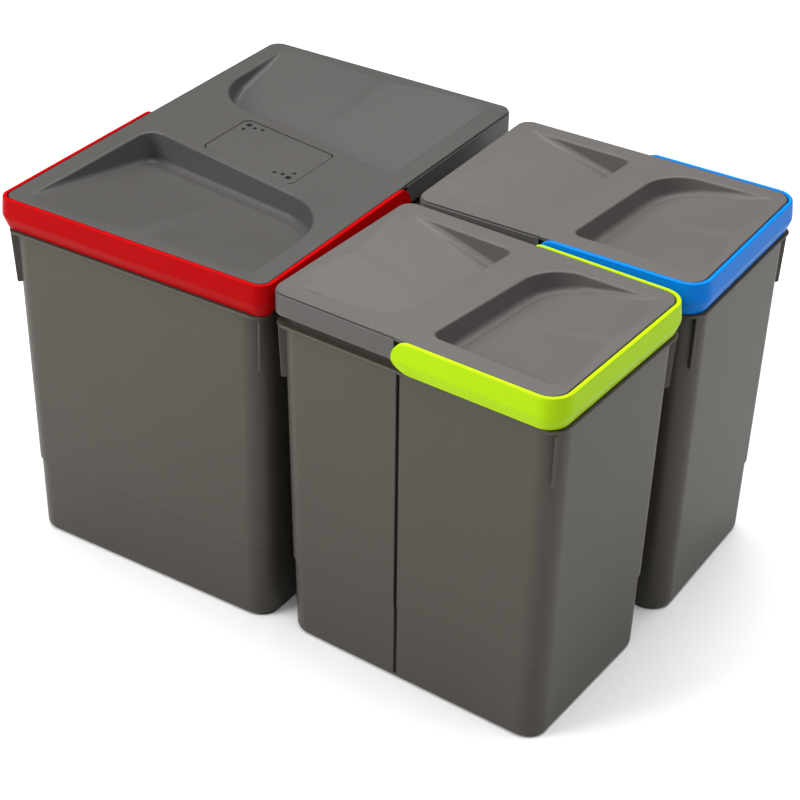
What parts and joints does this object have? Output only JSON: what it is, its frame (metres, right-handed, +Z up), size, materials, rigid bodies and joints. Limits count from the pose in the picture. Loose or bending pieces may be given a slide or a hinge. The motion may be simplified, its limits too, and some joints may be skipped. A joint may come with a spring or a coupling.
{
  "type": "recycling bin set",
  "caption": "Sorting bin set: tall drafted bins with lift-off lids, finger scoops, a vented filter cover and coloured swing handles.",
  "frame": {"origin": "middle of the large bin's base, on the surface it stands on", "axes": "+Z up; +Y from the large bin's handle bar to its back; +X towards the two small bins, which have their handle bars on the +X side"},
  "size_m": [0.4391, 0.322, 0.266],
  "materials": {
    "container_plastic": "satin moulded warm dark grey polypropylene with fine texture",
    "lid_plastic": "satin moulded warm grey polypropylene with fine texture",
    "red_plastic": "semi-gloss moulded red",
    "green_plastic": "semi-gloss moulded lime green",
    "blue_plastic": "semi-gloss moulded blue",
    "filter_felt": "matt charcoal felt"
  },
  "bodies": {
    "large_bin": {"large_container": "container_plastic"},
    "large_handle": {"large_handle": "red_plastic"},
    "large_lid": {"large_lid": "lid_plastic"},
    "filter": {"filter_cover": "lid_plastic", "filter_pad": "filter_felt"},
    "front_bin": {"front_container": "container_plastic"},
    "front_lid": {"front_lid": "lid_plastic"},
    "front_handle": {"front_handle": "green_plastic"},
    "back_bin": {"back_container": "container_plastic"},
    "back_lid": {"back_lid": "lid_plastic"},
    "back_handle": {"back_handle": "blue_plastic"}
  },
  "joints": [
    {"name": "large_handle_swing", "type": "hinge", "parent": "large_bin", "child": "large_handle", "pos_m": [0, 0, 0.25475], "axis": [-1, 0, 0], "range_deg": [0, 90]},
    {"name": "large_lid_lift", "type": "slide", "parent": "large_bin", "child": "large_lid", "axis": [0, 0, 1], "range_m": [0, 0.09]},
    {"name": "filter_lift", "type": "slide", "parent": "large_lid", "child": "filter", "axis": [0, 0, 1], "range_m": [0, 0.03]},
    {"name": "front_bin_lift", "type": "slide", "parent": "large_bin", "child": "front_bin", "axis": [0, 0, 1], "range_m": [0, 0.3]},
    {"name": "front_lid_lift", "type": "slide", "parent": "front_bin", "child": "front_lid", "axis": [0, 0, 1], "range_m": [0, 0.06]},
    {"name": "front_handle_swing", "type": "hinge", "parent": "front_bin", "child": "front_handle", "pos_m": [0.21786, -0.085, 0.25475], "axis": [-0.0506, -0.9987, 0], "range_deg": [0, 90]},
    {"name": "back_bin_lift", "type": "slide", "parent": "large_bin", "child": "back_bin", "axis": [0, 0, 1], "range_m": [0, 0.3]},
    {"name": "back_lid_lift", "type": "slide", "parent": "back_bin", "child": "back_lid", "axis": [0, 0, 1], "range_m": [0, 0.06]},
    {"name": "back_handle_swing", "type": "hinge", "parent": "back_bin", "child": "back_handle", "pos_m": [0.224, 0.0717, 0.25475], "axis": [0, -1, 0], "range_deg": [0, 90]}
  ]
}
